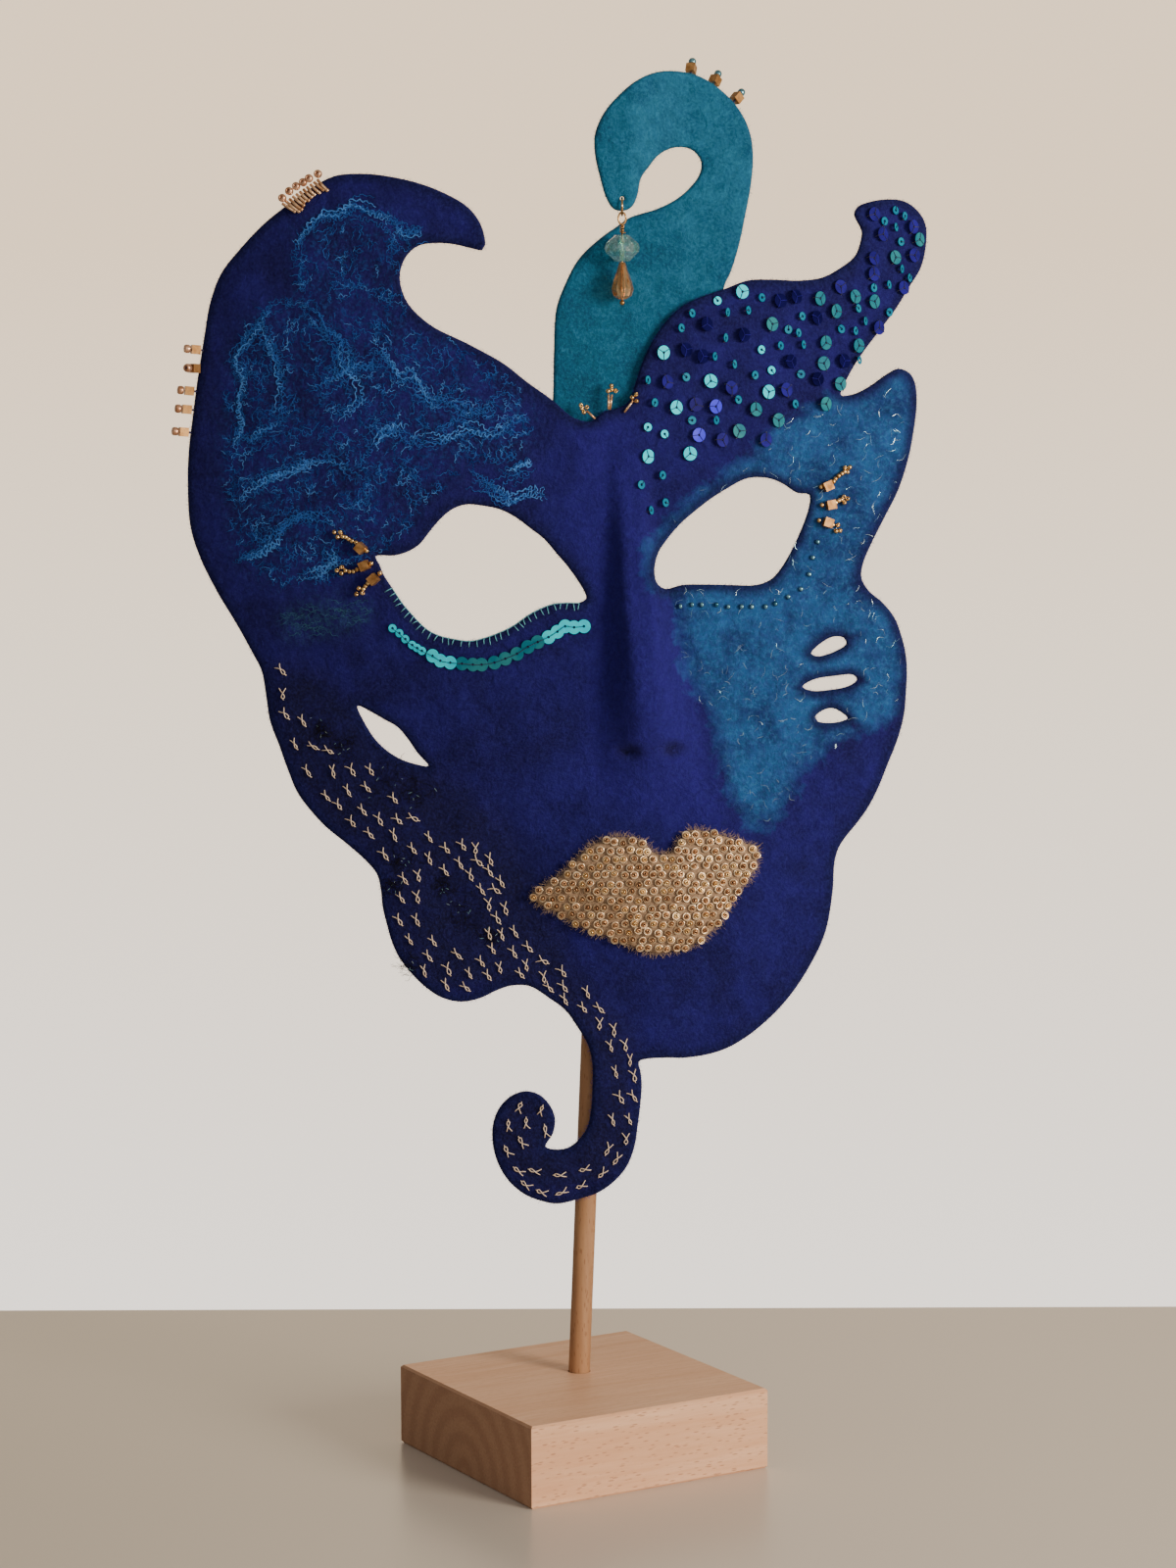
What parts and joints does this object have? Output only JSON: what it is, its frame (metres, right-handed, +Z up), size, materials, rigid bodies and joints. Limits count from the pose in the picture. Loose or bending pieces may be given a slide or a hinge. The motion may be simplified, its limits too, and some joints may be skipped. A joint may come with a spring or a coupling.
{
  "type": "felt mask on a wooden stand",
  "caption": "Curved felt carnival mask with horn, sequin fin, curled tail, swan neck, beaded lips and a swinging bead drop, on a dowel in a square wooden block.",
  "frame": {"origin": "middle of the stand block's flat bottom face", "axes": "+Z up, -Y the way the mask looks, +X to the viewer's right"},
  "size_m": [0.2808, 0.137, 0.5163],
  "materials": {
    "beech": "planed and finely sanded beech, unvarnished",
    "ultramarine_felt": "wet-felted wool, ultramarine with cerulean laid over the right cheek",
    "turquoise_felt": "wet-felted wool, turquoise",
    "beige_felt": "beige felt covered with gold cup sequins and seed beads",
    "gold_wire": "gold-plated wire and glass seed beads",
    "copper_bead": "bronze-lined glass beads, copper lustre",
    "pale_cube": "champagne glass cube beads with a metallic lining",
    "sequin_blue": "iridescent turquoise sequins",
    "clear_blue_glass": "faceted aqua glass",
    "amber_glass": "faceted champagne glass"
  },
  "bodies": {
    "mask": {"stand_block": "beech", "stand_dowel": "beech", "dowel_sleeve": "ultramarine_felt", "mask_shell": "ultramarine_felt", "swan_neck": "turquoise_felt", "lips_pad": "beige_felt", "eye_cube_left_1": "pale_cube", "eye_cube_left_2": "pale_cube", "eye_cube_left_3": "pale_cube", "eye_cube_right_1": "pale_cube", "eye_cube_right_2": "pale_cube", "eye_cube_right_3": "pale_cube", "edge_stack_1_cube": "pale_cube", "edge_stack_1_bead": "copper_bead", "edge_stack_2_cube": "pale_cube", "edge_stack_2_bead": "copper_bead", "edge_stack_3_cube": "pale_cube", "edge_stack_3_bead": "copper_bead", "edge_stack_4_cube": "pale_cube", "edge_stack_4_bead": "copper_bead", "edge_stack_5_cube": "pale_cube", "edge_stack_5_bead": "copper_bead", "crest_stack_1_cube": "pale_cube", "crest_stack_1_bead": "clear_blue_glass", "crest_stack_2_cube": "pale_cube", "crest_stack_2_bead": "clear_blue_glass", "crest_stack_3_cube": "pale_cube", "crest_stack_3_bead": "clear_blue_glass", "brow_pin_1": "gold_wire", "brow_pin_2": "gold_wire", "brow_pin_3": "gold_wire", "brow_pin_4": "gold_wire", "horn_comb": "copper_bead", "sequin_string": "sequin_blue"},
    "ring": {"jump_ring": "gold_wire"},
    "drop": {"drop_wire": "gold_wire", "rondelle_bead": "clear_blue_glass", "teardrop_bead": "amber_glass"}
  },
  "joints": [
    {"name": "ring_swing", "type": "hinge", "parent": "mask", "child": "ring", "pos_m": [0.01605, -0.00405, 0.46411], "axis": [0, 1, 0], "range_deg": [-35, 2]},
    {"name": "drop_nod", "type": "hinge", "parent": "ring", "child": "drop", "pos_m": [0.01605, -0.00405, 0.4581], "axis": [1, 0, 0], "range_deg": [-30, 0]}
  ]
}
